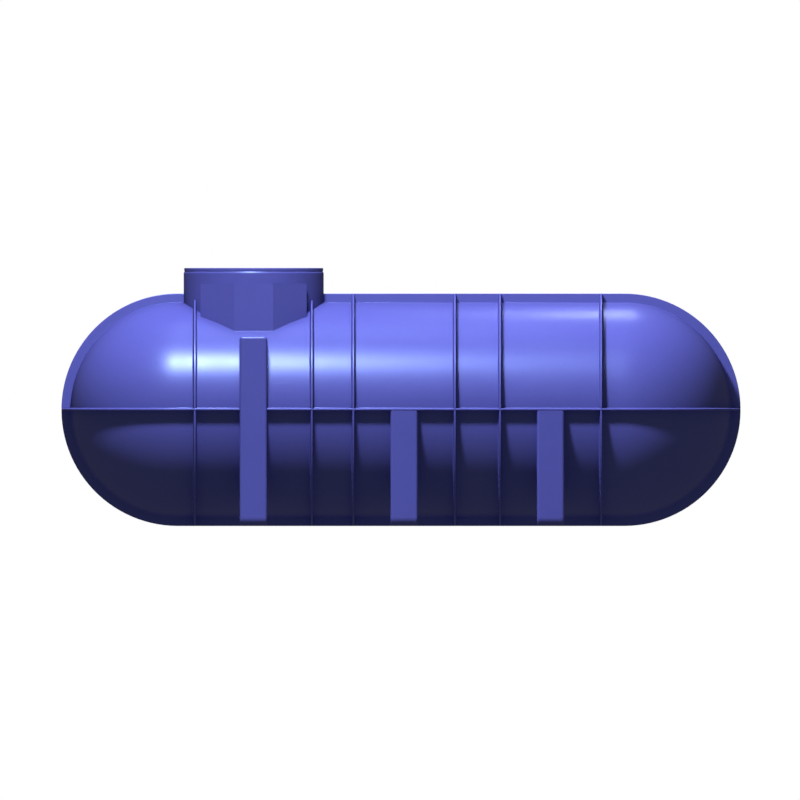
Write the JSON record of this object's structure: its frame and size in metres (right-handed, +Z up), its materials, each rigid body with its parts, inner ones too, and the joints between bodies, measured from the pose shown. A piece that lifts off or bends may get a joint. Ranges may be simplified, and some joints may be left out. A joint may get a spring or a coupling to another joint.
{
  "type": "underground water tank",
  "caption": "Horizontal capsule-shaped underground water tank with ring ribs, a waist flange, feet and an open round manhole neck with flat pipe pads.",
  "frame": {"origin": "on the ground plane under the middle of the tank's length and width", "axes": "+X along the tank, away from the manhole neck; -Y the front; +Z up"},
  "size_m": [3.396, 1.162, 1.29],
  "materials": {
    "shell_plastic": "satin moulded plastic",
    "flange_plastic": "satin moulded plastic",
    "neck_plastic": "satin moulded plastic",
    "foot_plastic": "satin moulded plastic"
  },
  "bodies": {
    "root": {"keel_plate": "flange_plastic", "left_dome_lower_back": "shell_plastic", "left_dome_lower_front": "shell_plastic", "left_dome_upper_back": "shell_plastic", "left_dome_upper_front": "shell_plastic", "left_link_lower": "shell_plastic", "left_link_upper": "shell_plastic", "manhole_neck": "neck_plastic", "middle_bay_lower": "shell_plastic", "middle_bay_upper": "shell_plastic", "neck_bay_lower": "shell_plastic", "neck_bay_upper": "shell_plastic", "neck_pads_back": "neck_plastic", "neck_pads_front": "neck_plastic", "neck_rim": "neck_plastic", "ridge_plate_left": "flange_plastic", "ridge_plate_right": "flange_plastic", "right_bay_lower": "shell_plastic", "right_bay_upper": "shell_plastic", "right_dome_lower_back": "shell_plastic", "right_dome_lower_front": "shell_plastic", "right_dome_upper_back": "shell_plastic", "right_dome_upper_front": "shell_plastic", "right_link_lower": "shell_plastic", "right_link_upper": "shell_plastic", "ring_rib_1": "flange_plastic", "ring_rib_2": "flange_plastic", "ring_rib_3": "flange_plastic", "ring_rib_4": "flange_plastic", "ring_rib_5": "flange_plastic", "ring_rib_6": "flange_plastic", "short_foot_1_back": "foot_plastic", "short_foot_1_front": "foot_plastic", "short_foot_2_back": "foot_plastic", "short_foot_2_front": "foot_plastic", "tall_foot_back": "foot_plastic", "tall_foot_front": "foot_plastic", "waist_flange_back": "flange_plastic", "waist_flange_front": "flange_plastic", "waist_flange_left": "flange_plastic", "waist_flange_right": "flange_plastic"}
  },
  "joints": []
}
